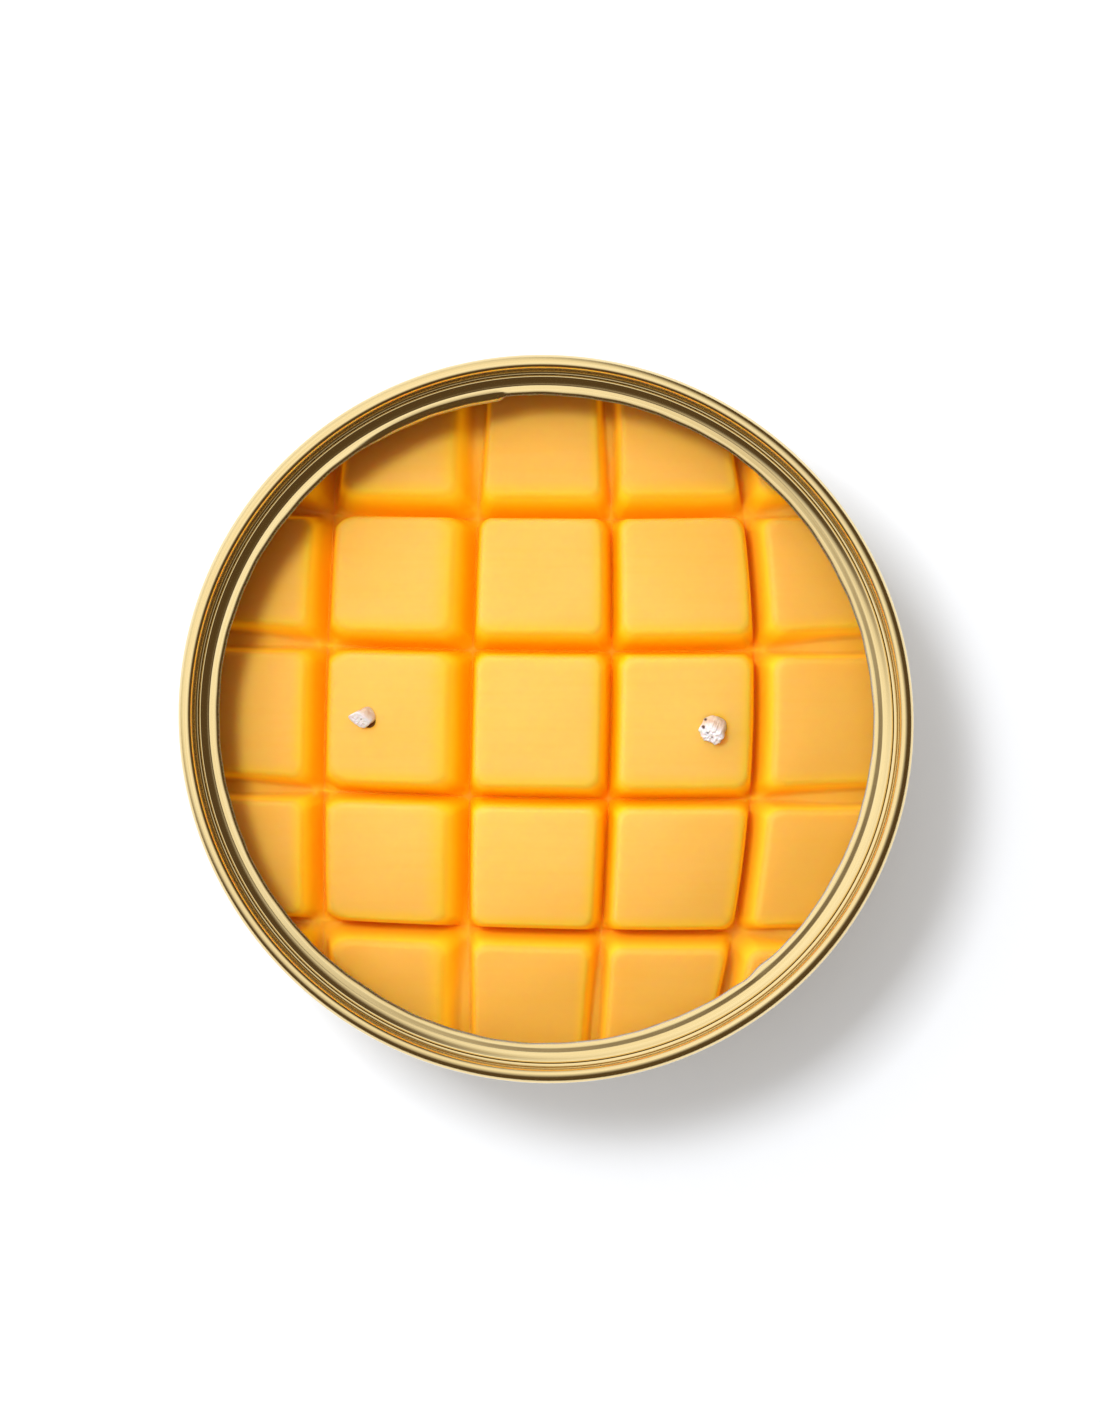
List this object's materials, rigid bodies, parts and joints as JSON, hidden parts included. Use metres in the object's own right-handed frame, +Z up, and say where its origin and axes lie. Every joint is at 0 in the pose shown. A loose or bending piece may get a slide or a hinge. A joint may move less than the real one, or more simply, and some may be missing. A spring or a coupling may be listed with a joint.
{
  "type": "candle tin",
  "caption": "Shallow round seamed metal tin with an opened ring-pull mouth, filled with domed wax cut into soft square blocks around short wicks.",
  "frame": {"origin": "centre of the base, on the plane the tin stands on", "axes": "+Z up along the tin's axis, +X along the line through the wicks, towards the right-hand wick"},
  "size_m": [0.102, 0.102, 0.041],
  "materials": {
    "gold_tinplate": "clear gold lacquer over rolled tinplate, satin with fine rolling lines",
    "plain_tinplate": "plain pressed tinplate",
    "seam_compound": "dull sealing compound",
    "wax": "translucent mango-coloured wax with a soft satin surface",
    "waxed_cotton": "braided cotton primed with pale wax",
    "foam_pad": "matt foam adhesive pad",
    "label_paper": "uncoated paper, blank"
  },
  "bodies": {
    "root": {"can_body": "gold_tinplate", "top_ring": "gold_tinplate", "top_seam_compound": "seam_compound", "bottom_end": "gold_tinplate", "bottom_seam_compound": "seam_compound", "wax_fill": "wax", "wick_left": "waxed_cotton", "wick_right": "waxed_cotton", "wick_tab_left": "plain_tinplate", "wick_tab_right": "plain_tinplate", "wick_sticker_left": "foam_pad", "wick_sticker_right": "foam_pad", "base_label": "label_paper"}
  },
  "joints": []
}
